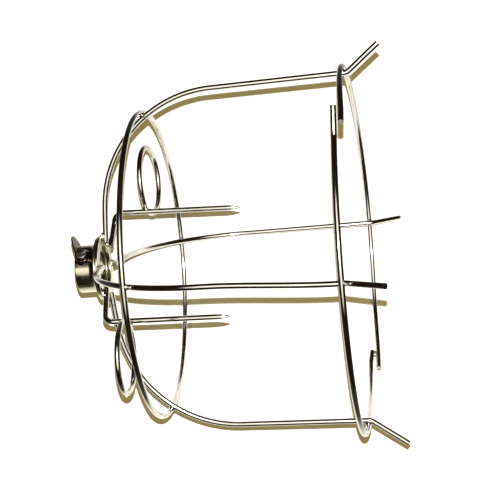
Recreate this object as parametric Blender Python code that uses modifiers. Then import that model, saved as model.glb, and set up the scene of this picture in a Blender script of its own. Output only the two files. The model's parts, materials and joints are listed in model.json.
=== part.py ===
"""Wire bulb cage for a poultry heat lamp: four ribs, two hoops, two spring arms and a neck collar.

Lengths are metres. The cage is built in its own axes (X from the collar to the mouth, with x = 0
in the plane of the shoulder ring, and angles counted from the upper rib towards the front rib),
then laid on its side so that both hoops and the rear rib's tip touch the surface.
"""
import math

import bmesh
import bpy
from mathutils import Matrix, Vector

# Driving dimensions
WIRE = 0.0032                   # diameter of every wire
GAP = 0.0003                    # clearance left between touching pieces
MOUTH_RING_RADIUS = 0.1016      # centre line: an 8 in hoop
SHOULDER_RING_RADIUS = 0.0856   # centre line
MOUTH_X = 0.1144                # between the two half rings of the mouth
TIP_X = 0.1347                  # splayed ends of the ribs
TIP_RADIUS = 0.1126

# Neck collar and hub
TUBE_RADIUS = 0.0134
TUBE_WALL = 0.0010
TUBE_END_X = -0.0436            # open rim of the collar
HUB_FACE_X = -0.0290            # face that the wires are welded to
WASHER_RADIUS = 0.0188
WASHER_BORE = 0.0130
WASHER_THICKNESS = 0.0016
LIP_RADIUS = 0.0182
LIP_BEND = 0.0038               # outer radius of the collar's flared lip
LUG_ANGLE = 1.0
LUG_HALF_SPAN = 41.0            # degrees of rim that the lug takes up, each way
LUG_PEAK = 0.0193               # radius reached by the lug's point
LUG_LEAN = 24.0                 # degrees it leans away from the cage

# Set screw
SCREW_ANGLE = 51.0
SCREW_X = -0.0387
SCREW_RADIUS = 0.0019
SCREW_HEAD_RADIUS = 0.0029
SCREW_HEAD_HEIGHT = 0.0020
SCREW_REACH = 0.0016            # how far it stands into the collar's bore
SLOT_WIDTH = 0.0009
SLOT_DEPTH = 0.0010
BOSS_RADIUS = 0.0039
BOSS_HEIGHT = 0.0020

# Ribs: a radial leg, one large bend, a long side leg, and a splayed tip
RIB_CORNER = (-0.0204, 0.0946)  # where the two straight legs would meet: x, radius
RIB_LEG_LEAN = 0.084            # x gained per radius along the radial leg
RIB_BEND = 0.0680
RIB_MOUTH_RADIUS = 0.0980       # centre line of the side leg at the mouth
KINK_BEND = 0.0050
FOOT_RADIUS = 0.0145            # where each wire starts on the hub washer
RIBS = {                        # angle, x of the kink, sideways bow near the hub
    "rib_upper": (0.0, 0.1167, 0.0),
    "rib_front": (90.0, 0.1144, 0.0028),
    "rib_lower": (180.0, 0.1144, 0.0),
    "rib_rear": (270.0, 0.1177, 0.0004),
}
BOW_FADE = (0.040, 0.112)       # x range over which the bow dies out

# Mouth ring halves: angles where the hoop starts and ends, side of MOUTH_X, how far in x and over
# how many degrees the far end is drawn towards the tips of the ribs, and sag towards the hub
HALF_PITCH = WIRE + GAP
HALF_RINGS = {
    "mouth_ring_upper": (41.0, -144.5, 0.5, 0.0013, 30.0, 0.0023),
    "mouth_ring_lower": (47.1, 223.0, -0.5, 0.0008, 5.0, 0.0),
}
SAG_SPAN = (-88.0, 36.0)        # angles between which a half ring sags, most near its upper end
SAG_SKEW = 1.5
TABBED = "mouth_ring_lower"     # its near end is bent outwards as a finger tab
TAB_BEND = 0.0050
TAB_TURN = 36.0
TAB_LENGTH = 0.0140
TAB_DRIFT = 0.0007              # towards the mouth at the tab's end

# Spring arms with their pull loops: angle, radius, toe-out per length, length, x and turn of loop
ARM_BEND_X = -0.0260
ARM_BEND = 0.0050
ARM_POINT = 0.0085              # length of the pointed end
ARM_POINT_SCALE = 0.25
LOOP_RADIUS = 0.0196
ARMS = {
    "upper": (-45.0, 0.0384, -0.034, 0.0734, -0.0083, -4.0),
    "lower": (135.0, 0.0371, 0.020, 0.0700, -0.0121, 0.0),
}

RING_STEPS = 72
BEND_STEPS = 14
TAB_STEPS = 6
WIRE_SIDES = 3                  # bevel resolution of the wires

COLOURS = {                     # base colour, roughness
    "plated_wire": ((0.78, 0.77, 0.73, 1.0), 0.16),
    "plated_sheet": ((0.72, 0.70, 0.64, 1.0), 0.22),
    "screw_steel": ((0.30, 0.29, 0.27, 1.0), 0.35),
}


def clear_scene():
    for item in list(bpy.data.objects):
        bpy.data.objects.remove(item, do_unlink=True)


def material(name):
    made = bpy.data.materials.get(name)
    if made:
        return made
    colour, roughness = COLOURS[name]
    made = bpy.data.materials.new(name)
    made.use_nodes = True
    shader = made.node_tree.nodes["Principled BSDF"]
    shader.inputs["Base Color"].default_value = colour
    shader.inputs["Metallic"].default_value = 1.0
    shader.inputs["Roughness"].default_value = roughness
    return made


def polar(x, radius, angle):
    """A point of the cage at x along its axis, out by radius, at an angle from the upper rib."""
    turn = math.radians(angle)
    return Vector((x, -radius * math.sin(turn), radius * math.cos(turn)))


def outward(angle):
    return polar(0.0, 1.0, angle)


def sideways(angle):
    """The direction in which the angle grows."""
    turn = math.radians(angle)
    return Vector((0.0, -math.cos(turn), -math.sin(turn)))


def rounded_path(corners, bends):
    """Points of a planar path whose inner corners are rounded with the given radii."""
    points = [corners[0]]
    for before, corner, after, bend in zip(corners, corners[1:], corners[2:], bends):
        arrive = (corner - before).normalized()
        leave = (after - corner).normalized()
        turn = arrive.angle(leave)
        tangent = bend * math.tan(turn / 2)
        start = corner - arrive * tangent
        inward = (leave - arrive * leave.dot(arrive)).normalized()
        centre = start + inward * bend
        steps = max(4, round(BEND_STEPS * turn / math.radians(90)))
        for step in range(steps + 1):
            swept = turn * step / steps
            points.append(centre - inward * bend * math.cos(swept) + arrive * bend * math.sin(swept))
    points.append(corners[-1])
    return points


def wire(name, points, closed=False, scales=None):
    """A round wire along the points."""
    curve = bpy.data.curves.new(name, "CURVE")
    curve.dimensions = "3D"
    curve.bevel_depth = WIRE / 2
    curve.bevel_resolution = WIRE_SIDES
    curve.use_fill_caps = not closed
    spline = curve.splines.new("POLY")
    spline.points.add(len(points) - 1)
    for index, point in enumerate(points):
        spline.points[index].co = (*point, 1.0)
        spline.points[index].radius = scales[index] if scales else 1.0
    spline.use_cyclic_u = closed
    return place(bpy.data.objects.new(name, curve), "plated_wire")


def place(item, finish):
    item.data.materials.append(material(finish))
    collection.objects.link(item)
    item.parent = cage
    return item


def smooth(item):
    item.data.shade_smooth()
    item.data.set_sharp_from_angle(angle=math.radians(35))
    return item


def turned(name, profile, finish, steps=64):
    """A solid turned about the cage's axis from a closed outline of (radius, x) points."""
    mesh = bpy.data.meshes.new(name)
    count = len(profile)
    mesh.from_pydata([(radius, 0.0, x) for radius, x in profile],
                     [(index, (index + 1) % count) for index in range(count)], [])
    item = place(bpy.data.objects.new(name, mesh), finish)
    item.rotation_euler = (0.0, math.radians(90), 0.0)
    screw = item.modifiers.new("turn", "SCREW")
    screw.axis = "Z"
    screw.steps = screw.render_steps = steps
    screw.use_merge_vertices = True
    screw.merge_threshold = 0.00001
    return item


def cylinder(name, radius, low, high, sides=32):
    """A cylinder standing on the collar wall at the set screw, between two radii from the axis."""
    mesh = bpy.data.meshes.new(name)
    solid = bmesh.new()
    bmesh.ops.create_cone(solid, cap_ends=True, segments=sides, radius1=radius, radius2=radius,
                          depth=high - low)
    solid.to_mesh(mesh)
    solid.free()
    item = bpy.data.objects.new(name, mesh)
    item.matrix_local = screw_axes() @ Matrix.Translation((0.0, 0.0, (low + high) / 2))
    return item


def screw_axes():
    """Axes with Z along the set screw, away from the collar, and X along the cage."""
    out = outward(SCREW_ANGLE)
    along = Vector((1.0, 0.0, 0.0))
    side = out.cross(along)
    turn = Matrix((along, side, out)).transposed().to_4x4()
    return Matrix.Translation((SCREW_X, 0.0, 0.0)) @ turn


def as_cutter(item):
    cutters.objects.link(item)
    item.parent = cage
    item.hide_render = True
    item.display_type = "WIRE"
    return item


def boolean(item, other, operation):
    change = item.modifiers.new(operation.lower(), "BOOLEAN")
    change.operation = operation
    change.object = other


def arc(centre, radius, start, end, steps):
    """Points (radius from the axis, x) on a round stretch of a turned outline."""
    turns = [math.radians(start + (end - start) * step / steps) for step in range(steps + 1)]
    return [(centre[0] + radius * math.cos(turn), centre[1] + radius * math.sin(turn))
            for turn in turns]


def make_lug():
    """Plate that leans out from the collar's rim: a rounded base that rises to one point."""
    root = TUBE_RADIUS - TUBE_WALL * 0.6
    steps = 24
    angles = [math.radians(LUG_HALF_SPAN) * (2 * step / steps - 1) for step in range(steps + 1)]
    inner = [(root * math.sin(turn), root * math.cos(turn)) for turn in angles]
    outer = []
    for turn in reversed(angles):
        rise = math.cos(turn / math.radians(LUG_HALF_SPAN) * math.pi / 2) ** 1.6
        reach = TUBE_RADIUS + (LUG_PEAK - TUBE_RADIUS) * rise
        outer.append((reach * math.sin(turn), reach * math.cos(turn)))
    curve = bpy.data.curves.new("lug", "CURVE")
    curve.dimensions = "2D"
    curve.fill_mode = "BOTH"
    curve.extrude = TUBE_WALL / 2
    spline = curve.splines.new("POLY")
    outline = inner + outer
    spline.points.add(len(outline) - 1)
    for point, (across, out) in zip(spline.points, outline):
        point.co = (across, out, 0.0, 1.0)
    spline.use_cyclic_u = True
    flat = bpy.data.objects.new("lug_curve", curve)
    cutters.objects.link(flat)
    bpy.context.view_layer.update()
    mesh = bpy.data.meshes.new_from_object(flat.evaluated_get(bpy.context.evaluated_depsgraph_get()))
    bpy.data.objects.remove(flat, do_unlink=True)
    solid = bmesh.new()
    solid.from_mesh(mesh)
    bmesh.ops.remove_doubles(solid, verts=solid.verts, dist=0.000001)
    bmesh.ops.recalc_face_normals(solid, faces=solid.faces)
    solid.to_mesh(mesh)
    solid.free()
    lug = bpy.data.objects.new("lug", mesh)
    out = outward(LUG_ANGLE)
    across = sideways(LUG_ANGLE)
    turn = Matrix((across, out, across.cross(out))).transposed().to_4x4()
    lean = Matrix.Rotation(math.radians(LUG_LEAN) * (1 if across.cross(out).x < 0 else -1), 4, "X")
    hinge = Matrix.Translation((0.0, root, 0.0))
    lug.matrix_local = (Matrix.Translation((TUBE_END_X + TUBE_WALL * 0.6, 0.0, 0.0)) @ turn
                        @ hinge @ lean @ hinge.inverted())
    return as_cutter(lug)


def make_collar():
    lip_back = HUB_FACE_X - WASHER_THICKNESS - GAP - TUBE_WALL
    centre = (TUBE_RADIUS + LIP_BEND, lip_back - LIP_BEND)
    inner_bend = LIP_BEND + TUBE_WALL
    profile = [(LIP_RADIUS, lip_back + TUBE_WALL), (LIP_RADIUS, lip_back)]
    profile += arc(centre, LIP_BEND, 90, 180, 8)
    profile += [(TUBE_RADIUS, TUBE_END_X), (TUBE_RADIUS - TUBE_WALL, TUBE_END_X)]
    profile += arc(centre, inner_bend, 180, 90, 8)
    collar = turned("neck_collar", profile, "plated_sheet")
    boolean(collar, make_lug(), "UNION")
    hole = as_cutter(cylinder("screw_hole", SCREW_RADIUS + GAP, TUBE_RADIUS - 0.003,
                              TUBE_RADIUS + 0.003))
    boolean(collar, hole, "DIFFERENCE")
    return smooth(collar)


def make_washer():
    back = HUB_FACE_X - WASHER_THICKNESS
    edge = 0.0003
    profile = [(WASHER_RADIUS - edge, HUB_FACE_X), (WASHER_RADIUS, HUB_FACE_X - edge),
               (WASHER_RADIUS, back), (WASHER_BORE, back), (WASHER_BORE, HUB_FACE_X)]
    return smooth(turned("hub_washer", profile, "plated_sheet"))


def make_screw():
    """Boss on the collar's wall, and the slotted set screw through it."""
    top = TUBE_RADIUS + GAP + BOSS_HEIGHT
    boss = place(cylinder("screw_boss", BOSS_RADIUS, TUBE_RADIUS - 0.0015, top), "plated_sheet")
    wall = bpy.data.objects.new("boss_seat", bpy.data.meshes.new("boss_seat"))
    solid = bmesh.new()
    bmesh.ops.create_cone(solid, cap_ends=True, segments=96, radius1=TUBE_RADIUS + GAP,
                          radius2=TUBE_RADIUS + GAP, depth=0.03)
    bmesh.ops.rotate(solid, verts=solid.verts, matrix=Matrix.Rotation(math.radians(90), 3, "Y"))
    solid.to_mesh(wall.data)
    solid.free()
    wall.location = (SCREW_X, 0.0, 0.0)
    boolean(boss, as_cutter(wall), "DIFFERENCE")
    bore = as_cutter(cylinder("boss_bore", SCREW_RADIUS + GAP, 0.0, TUBE_RADIUS + 0.02))
    boolean(boss, bore, "DIFFERENCE")
    smooth(boss)

    seat = top + GAP
    screw = place(cylinder("set_screw", SCREW_HEAD_RADIUS, seat, seat + SCREW_HEAD_HEIGHT),
                  "screw_steel")
    low = TUBE_RADIUS - TUBE_WALL - SCREW_REACH
    shank = as_cutter(cylinder("screw_shank", SCREW_RADIUS, low, seat + 0.0005, sides=24))
    boolean(screw, shank, "UNION")
    slot_mesh = bpy.data.meshes.new("screw_slot")
    solid = bmesh.new()
    bmesh.ops.create_cube(solid, size=1.0)
    bmesh.ops.scale(solid, verts=solid.verts, vec=(0.01, SLOT_WIDTH, 2 * SLOT_DEPTH))
    solid.to_mesh(slot_mesh)
    solid.free()
    slot = bpy.data.objects.new("screw_slot", slot_mesh)
    slot.matrix_local = (screw_axes() @ Matrix.Translation((0.0, 0.0, seat + SCREW_HEAD_HEIGHT))
                         @ Matrix.Rotation(math.radians(25), 4, "Z"))
    boolean(screw, as_cutter(slot), "DIFFERENCE")
    smooth(screw)


def make_rib(name, angle, kink_x, bow):
    """One rib: its plane profile, bowed a little to one side near the hub."""
    corner_x, corner_radius = RIB_CORNER
    foot_x = corner_x - RIB_LEG_LEAN * (corner_radius - FOOT_RADIUS)
    corners = [Vector((foot_x, FOOT_RADIUS)), Vector((corner_x, corner_radius)),
               Vector((kink_x, RIB_MOUTH_RADIUS)), Vector((TIP_X, TIP_RADIUS))]
    fade_start, fade_end = BOW_FADE
    points = []
    for x, radius in subdivided(rounded_path(corners, (RIB_BEND, KINK_BEND)), 0.016):
        fade = min(1.0, max(0.0, (fade_end - x) / (fade_end - fade_start)))
        ease = fade * fade * (3 - 2 * fade)
        points.append(polar(x, radius, angle) - sideways(angle) * bow * ease)
    return wire(name, points)


def subdivided(points, longest):
    """The same path with no stretch longer than the given length."""
    finer = [points[0]]
    for start, end in zip(points, points[1:]):
        pieces = math.ceil((end - start).length / longest)
        finer += [start.lerp(end, piece / pieces) for piece in range(1, pieces + 1)]
    return finer


def make_rings():
    angles = [360 * step / RING_STEPS for step in range(RING_STEPS)]
    wire("shoulder_ring", [polar(0.0, SHOULDER_RING_RADIUS, angle) for angle in angles],
         closed=True)
    for name, (near, far, side, drawn, span, sag) in HALF_RINGS.items():
        steps = round(RING_STEPS * abs(far - near) / 360)
        points = []
        for angle in [near + (far - near) * step / steps for step in range(steps + 1)]:
            share = max(0.0, 1 - abs(far - angle) / span)
            x = MOUTH_X + side * HALF_PITCH + drawn * share - sag * sag_share(angle)
            points.append(polar(x, MOUTH_RING_RADIUS, angle))
        wire(name, tab_points(near, points[0].x) + points if name == TABBED else points)


def tab_points(angle, x):
    """The finger tab: from its free end to where its bend leaves the hoop at the angle."""
    root = polar(x, MOUTH_RING_RADIUS, angle)
    out, along = outward(angle), -sideways(angle)
    centre = root + out * TAB_BEND
    turns = [math.radians(TAB_TURN * step / TAB_STEPS) for step in range(1, TAB_STEPS + 1)]
    points = [centre + (along * math.sin(turn) - out * math.cos(turn)) * TAB_BEND for turn in turns]
    heading = along * math.cos(turns[-1]) + out * math.sin(turns[-1])
    points.append(points[-1] + heading * TAB_LENGTH)
    reach = (points[-1] - root).length
    for point in points:
        point.x += TAB_DRIFT * (point - root).length / reach
    return points[::-1]


def sag_share(angle):
    low, high = SAG_SPAN
    if not low < angle < high:
        return 0.0
    return math.sin(math.pi * ((angle - low) / (high - low)) ** SAG_SKEW)


def make_arm(side, angle, radius, toe, length, loop_x, loop_turn):
    """An L-shaped spring arm with a pointed end, and the pull loop welded to its outside."""
    foot_x = HUB_FACE_X + GAP + WIRE / 2
    corners = [Vector((foot_x, FOOT_RADIUS)), Vector((ARM_BEND_X, radius)),
               Vector((ARM_BEND_X + length, radius + toe * length))]
    path = rounded_path(corners, (ARM_BEND,))
    tip = path.pop()
    path.append(tip.lerp(path[-1], ARM_POINT / (tip - path[-1]).length))
    path.append(tip)
    scales = [1.0] * (len(path) - 1) + [ARM_POINT_SCALE]
    wire("arm_" + side, [polar(x, out, angle) for x, out in path], scales=scales)

    seat = radius + toe * (loop_x - ARM_BEND_X)
    reach = WIRE + GAP + LOOP_RADIUS
    along = polar(1.0, toe, angle).normalized()
    across = sideways(angle)
    out = along.cross(across).normalized()
    if out.dot(outward(angle)) < 0:
        out = -out
    across = Matrix.Rotation(math.radians(loop_turn), 3, out) @ across
    centre = polar(loop_x, seat, angle) + out * reach
    steps = RING_STEPS // 2
    turns = [2 * math.pi * step / steps for step in range(steps)]
    wire("loop_" + side, [centre + (out * math.cos(turn) + across * math.sin(turn)) * LOOP_RADIUS
                          for turn in turns], closed=True)


def resting_turn():
    """Rotation that lays both hoops and the rear rib's tip on a level surface."""
    rise = (MOUTH_RING_RADIUS - SHOULDER_RING_RADIUS) / (MOUTH_X + HALF_PITCH / 2)
    tilt = math.atan(rise)
    line_at_tip = SHOULDER_RING_RADIUS + rise * TIP_X
    roll = math.degrees(math.acos(line_at_tip / TIP_RADIUS))
    down_side = outward(RIBS["rib_rear"][0] - roll)
    axis = Vector((1.0, 0.0, 0.0))
    up = axis * math.sin(tilt) - down_side * math.cos(tilt)
    level = axis * math.cos(tilt) + down_side * math.sin(tilt)
    return Matrix((level, up.cross(level), up)).to_4x4()


def rest_on_surface():
    """Move the cage so that its box stands on the origin, centred."""
    cage.matrix_world = resting_turn()
    bpy.context.view_layer.update()
    graph = bpy.context.evaluated_depsgraph_get()
    spots = []
    for item in collection.objects:
        if item.type == "EMPTY":
            continue
        whole = item.evaluated_get(graph)
        mesh = whole.to_mesh()
        spots += [whole.matrix_world @ vertex.co for vertex in mesh.vertices]
        whole.to_mesh_clear()
    low = Vector([min(spot[axis] for spot in spots) for axis in range(3)])
    high = Vector([max(spot[axis] for spot in spots) for axis in range(3)])
    middle = (low + high) / 2
    cage.location = (-middle.x, -middle.y, -low.z)
    bpy.context.view_layer.update()


def main():
    make_collar()
    make_washer()
    make_screw()
    for name, sizes in RIBS.items():
        make_rib(name, *sizes)
    make_rings()
    for side, sizes in ARMS.items():
        make_arm(side, *sizes)
    rest_on_surface()


clear_scene()
collection = bpy.data.collections.new("heat_lamp_cage")
cutters = bpy.data.collections.new("cutters")
bpy.context.scene.collection.children.link(collection)
bpy.context.scene.collection.children.link(cutters)
cage = bpy.data.objects.new("cage_axes", None)
collection.objects.link(cage)
main()
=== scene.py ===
"""Wire guard of a poultry heat lamp: bright plated wire and sheet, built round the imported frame.

Everything is shaped in the guard's own axes (X from the collar to the mouth with x = 0 in the
plane of the shoulder hoop, angles counted from the upper rib towards the front rib) and then laid
down with the frame. Lengths are metres.
"""
import json
import math

import bmesh
import bpy
from bpy.props import FloatProperty, FloatVectorProperty, IntProperty, PointerProperty
from mathutils import Matrix, Vector


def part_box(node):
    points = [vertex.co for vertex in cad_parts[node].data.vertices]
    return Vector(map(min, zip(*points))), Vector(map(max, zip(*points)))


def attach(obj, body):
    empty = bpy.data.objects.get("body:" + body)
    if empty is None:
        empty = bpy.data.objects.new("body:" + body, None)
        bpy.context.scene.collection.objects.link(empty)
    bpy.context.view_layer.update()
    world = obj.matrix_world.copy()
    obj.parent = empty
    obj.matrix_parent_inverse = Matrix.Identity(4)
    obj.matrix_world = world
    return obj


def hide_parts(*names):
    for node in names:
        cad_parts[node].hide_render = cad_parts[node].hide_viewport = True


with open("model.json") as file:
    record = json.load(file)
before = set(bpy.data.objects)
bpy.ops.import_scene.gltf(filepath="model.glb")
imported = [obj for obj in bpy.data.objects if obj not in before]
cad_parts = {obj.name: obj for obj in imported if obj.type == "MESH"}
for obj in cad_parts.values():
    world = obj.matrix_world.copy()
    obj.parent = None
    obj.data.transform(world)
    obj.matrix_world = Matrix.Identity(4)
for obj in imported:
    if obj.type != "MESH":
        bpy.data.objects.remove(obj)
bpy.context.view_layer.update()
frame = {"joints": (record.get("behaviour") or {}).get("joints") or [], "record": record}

bl_info = {
    "name": "Heat Lamp Guard",
    "version": (1, 0, 0),
    "blender": (4, 5, 0),
    "location": "3D View > Sidebar > Lamp Guard",
    "description": "Builds the wires, collar, screw, welds and finishes of a heat lamp's guard",
    "category": "Add Mesh",
}

# The frame's layout, as the solids have it
GAP = 0.0003                    # clearance that the welds fill
SHOULDER_RADIUS = 0.0856
MOUTH_RADIUS = 0.1016
MOUTH_X = 0.1144
TIP_X, TIP_RADIUS = 0.1347, 0.1126
TUBE_RADIUS = 0.0134
TUBE_WALL = 0.0010
TUBE_END_X = -0.0436
HUB_FACE_X = -0.0290
WASHER_RADIUS, WASHER_BORE, WASHER_THICKNESS = 0.0188, 0.0130, 0.0016
LIP_RADIUS, LIP_BEND = 0.0182, 0.0038
LUG_ANGLE, LUG_HALF_SPAN, LUG_PEAK, LUG_LEAN = 1.0, 41.0, 0.0193, 24.0
SCREW_ANGLE, SCREW_X, SCREW_RADIUS = 51.0, -0.0387, 0.0019
HEAD_RADIUS, HEAD_HEIGHT, SCREW_REACH = 0.0029, 0.0020, 0.0016
SLOT_WIDTH, SLOT_DEPTH, SLOT_TURN = 0.0009, 0.0010, 25.0
BOSS_RADIUS, BOSS_HEIGHT = 0.0039, 0.0020
# the painted shade on the collar round the set screw reaches up to this x
PAINTED_SHADE_END_X = -0.0322
FOOT_RADIUS = 0.0145
RIB_CORNER, RIB_LEG_LEAN, RIB_BEND = (-0.0204, 0.0946), 0.084, 0.0680
RIB_MOUTH_RADIUS, KINK_BEND = 0.0980, 0.0050
RIBS = {                        # angle, x of the kink, sideways bow near the hub
    "rib_upper": (0.0, 0.1167, 0.0),
    "rib_front": (90.0, 0.1144, 0.0028),
    "rib_lower": (180.0, 0.1144, 0.0),
    "rib_rear": (270.0, 0.1177, 0.0004),
}
BOW_FADE = (0.040, 0.112)
HALF_RINGS = {                  # near and far end, side, draw of the far end, its span, sag
    "mouth_ring_upper": (41.0, -144.5, 0.5, 0.0013, 30.0, 0.0023),
    "mouth_ring_lower": (47.1, 223.0, -0.5, 0.0008, 5.0, 0.0),
}
SAG_SPAN, SAG_SKEW = (-88.0, 36.0), 1.5
TABBED = "mouth_ring_lower"     # its near end is bent outwards as a finger tab
TAB_BEND, TAB_TURN, TAB_LENGTH, TAB_DRIFT, TAB_STEPS = 0.0050, 36.0, 0.0140, 0.0007, 6
ARM_BEND_X, ARM_BEND, ARM_POINT = -0.0260, 0.0050, 0.0085
LOOP_RADIUS = 0.0196
ARMS = {                        # angle, radius, toe-out, length, x and turn of the loop
    "upper": (-45.0, 0.0384, -0.034, 0.0734, -0.0083, -4.0),
    "lower": (135.0, 0.0371, 0.020, 0.0700, -0.0121, 0.0),
}
WELDED = [(rib, "shoulder_ring") for rib in RIBS] + [
    ("rib_upper", "mouth_ring_upper"), ("rib_rear", "mouth_ring_upper"),
    ("rib_front", "mouth_ring_lower"), ("rib_lower", "mouth_ring_lower"),
]

# Fine details of the shapes, most of which the solids leave out
TURN_STEP = 2.5                 # degrees between two sections in a bend
SHARP_ANGLE = 38.0              # an edge that turns more than this is left sharp
CUT_SCALE, CUT_EDGE = (0.90, 0.97), 0.00035     # a sheared end's section, and its length
POINT_TAPER = 0.78              # how much of the wire is ground away at an arm's point
FOOT_SEAT, FOOT_BEAD = 0.0022, (1.35, 1.2)      # bead under a foot: its place, length and size
LAP_ANGLE, LAP_BEAD = 221.6, (1.4, 0.8)         # bead between the halves of the mouth hoop
BEAD_THICKNESS, BEAD_LUMPS = 0.0011, 0.05
WIRE_HEAT, COLLAR_HEAT, WASHER_HEAT, SCREW_HEAT = 0.0048, 0.003, 0.0042, 0.001
# painted shade on the collar round the set screw: its span of angles, its fades and its edge
PAINTED_SHADE_SPAN, PAINTED_SHADE_FADES, PAINTED_SHADE_EDGE = (-70.0, 80.0), (12.0, 5.0), 0.0015
LUG_BEND, LUG_THICKNESS, LUG_GRID = 0.0012, TUBE_WALL * 0.94, (48, 14)
BOSS_FLARE, BOSS_ROUND, BOSS_SINK = 0.0011, 0.0004, 0.0006
HEAD_CHAMFER, THREAD_PITCH, THREAD_ROOT = 0.0004, 0.0007, 0.80
NOTHING = 0.00001               # closer than this counts as the same place

# The stage: the camera's and the lamp's places, and the soft light's reach
CAMERA_RIGHT = (0.99917, -0.03732, -0.01653)
CAMERA_UP = (0.04009, 0.97340, 0.22560)
CAMERA_SPOT = (0.009444, -0.186406, 0.915208)
KEY_OFFSET, KEY_COLOUR = 0.037, (0.90, 0.95, 1.0)
FLOOR_RADIUS, FLOOR_LIT = 0.65, (0.10, 0.26)
SKY_DIRECTION, SKY_WIDE, SKY_TIGHT = (0.0, -0.22, 0.975), (0.68, 0.88), (0.77, 0.91)
ROOM_COLOUR, BACKDROP_COLOUR = (0.010, 0.006, 0.003, 1.0), (0.94, 0.94, 0.93, 1.0)


def length_setting(name, description, default):
    return FloatProperty(name=name, description=description, default=default,
                         subtype="DISTANCE", unit="LENGTH")


def colour_setting(name, description, default):
    return FloatVectorProperty(name=name, description=description, default=default, size=3,
                               subtype="COLOR", min=0, max=1)


class GuardSizes(bpy.types.PropertyGroup):
    wire: length_setting("Wire", "Diameter of the ribs, hoops, arms and loops", 0.0032)
    facets: IntProperty(name="Facets", description="Sides of a wire's section", default=28,
                        min=8, max=64)
    step: length_setting("Step", "Longest stretch of wire between two sections", 0.0016)
    weld: length_setting("Weld", "Half width of the bead where two wires cross", 0.0017)
    turn_steps: IntProperty(name="Turn Steps", description="Facets round the collar and washer",
                            default=128, min=32, max=256)


class GuardFinish(bpy.types.PropertyGroup):
    wire: colour_setting("Wire", "Bright plating on the wire", (0.83, 0.81, 0.76))
    sheet: colour_setting("Sheet", "Plating on the collar and washer", (0.76, 0.72, 0.56))
    screw: colour_setting("Screw", "Dull plating on the set screw", (0.46, 0.44, 0.40))
    weld: colour_setting("Weld", "Squeezed-out metal of the welds", (0.44, 0.41, 0.36))
    straw: colour_setting("Straw", "Outer heat colour round a weld", (0.70, 0.60, 0.42))
    scorch: colour_setting("Scorch", "Inner heat colour at a weld", (0.20, 0.17, 0.14))
    # painted shade: the near-black tone painted round the set screw where the plating reflects dark
    painted_shade: colour_setting("Painted Shade", "Shaded plating round the set screw", (0.045, 0.030, 0.018))
    dull: colour_setting("Dull", "Tone of the duller clouds in the plating", (0.36, 0.34, 0.28))
    speck: colour_setting("Speck", "Tone of the small dark specks", (0.10, 0.08, 0.06))


class GuardStage(bpy.types.PropertyGroup):
    floor: colour_setting("Floor", "Colour of the floor", (0.58, 0.56, 0.53))
    key_power: FloatProperty(name="Key", description="Power of the small lamp by the camera",
                             default=21.0, min=0, unit="POWER")
    key_size: length_setting("Key Size", "Diameter of the small lamp", 0.005)
    fill: colour_setting("Fill", "Colour of the soft light on the floor", (1.0, 0.80, 0.32))
    sky: colour_setting("Sky", "Colour of the soft light in the plating", (1.0, 0.95, 0.84))
    fill_strength: FloatProperty(name="Fill Strength", description="Strength of the soft light",
                                 default=1.3, min=0)
    lens: FloatProperty(name="Lens", description="Focal length of the camera", default=108.17,
                        min=10, subtype="DISTANCE_CAMERA", unit="CAMERA")


def polar(x, radius, angle):
    """A point of the guard at x along its axis, out by radius, at an angle from the upper rib."""
    turn = math.radians(angle)
    return Vector((x, -radius * math.sin(turn), radius * math.cos(turn)))


def outward(angle):
    return polar(0.0, 1.0, angle)


def sideways(angle):
    """The direction in which the angle grows."""
    turn = math.radians(angle)
    return Vector((0.0, -math.cos(turn), -math.sin(turn)))


def guard_axes():
    """The guard's axes in the frame, from the hub's mount, the screw's joint and the hoop."""
    mounts = {mount["name"]: mount for mount in frame["record"]["mounts"]}
    joints = {joint["name"]: joint for joint in frame["joints"]}
    along = Vector(mounts["hub_face"]["axis"]).normalized()
    out = Vector(joints["set_screw_turn"]["axis"])
    out = (out - along * out.dot(along)).normalized()
    side = along.cross(out)
    turn = math.radians(SCREW_ANGLE)
    second = -math.sin(turn) * out - math.cos(turn) * side
    third = math.cos(turn) * out - math.sin(turn) * side
    low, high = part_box("shoulder_ring")
    axes = Matrix((along, second, third)).transposed().to_4x4()
    return Matrix.Translation((low + high) / 2) @ axes


AXES = guard_axes()
UPRIGHT = Matrix.Rotation(math.radians(-90), 4, "Y")    # a shape turned about X stands along Z


# Paths of the wires

def rounded_path(corners, bends):
    """Points of a planar path whose inner corners are rounded with the given radii."""
    points = [corners[0]]
    for before, corner, after, bend in zip(corners, corners[1:], corners[2:], bends):
        arrive = (corner - before).normalized()
        leave = (after - corner).normalized()
        turn = arrive.angle(leave)
        start = corner - arrive * bend * math.tan(turn / 2)
        inward = (leave - arrive * leave.dot(arrive)).normalized()
        centre = start + inward * bend
        steps = max(6, round(math.degrees(turn) / TURN_STEP))
        for step in range(steps + 1):
            swept = turn * step / steps
            points.append(centre - inward * bend * math.cos(swept)
                          + arrive * bend * math.sin(swept))
    points.append(corners[-1])
    return points


def subdivided(points, longest):
    """The same path with no stretch longer than the given length."""
    finer = [points[0]]
    for start, end in zip(points, points[1:]):
        pieces = max(1, math.ceil((end - start).length / longest))
        finer += [start.lerp(end, piece / pieces) for piece in range(1, pieces + 1)]
    return finer


def smoothstep(share):
    share = min(1.0, max(0.0, share))
    return share * share * (3 - 2 * share)


def rib_path(name, step):
    angle, kink_x, bow = RIBS[name]
    corner_x, corner_radius = RIB_CORNER
    foot_x = corner_x - RIB_LEG_LEAN * (corner_radius - FOOT_RADIUS)
    corners = [Vector((foot_x, FOOT_RADIUS)), Vector((corner_x, corner_radius)),
               Vector((kink_x, RIB_MOUTH_RADIUS)), Vector((TIP_X, TIP_RADIUS))]
    points = []
    for x, radius in subdivided(rounded_path(corners, (RIB_BEND, KINK_BEND)), step):
        ease = smoothstep((BOW_FADE[1] - x) / (BOW_FADE[1] - BOW_FADE[0]))
        points.append(polar(x, radius, angle) - sideways(angle) * bow * ease)
    return points, sideways(angle)


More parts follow.
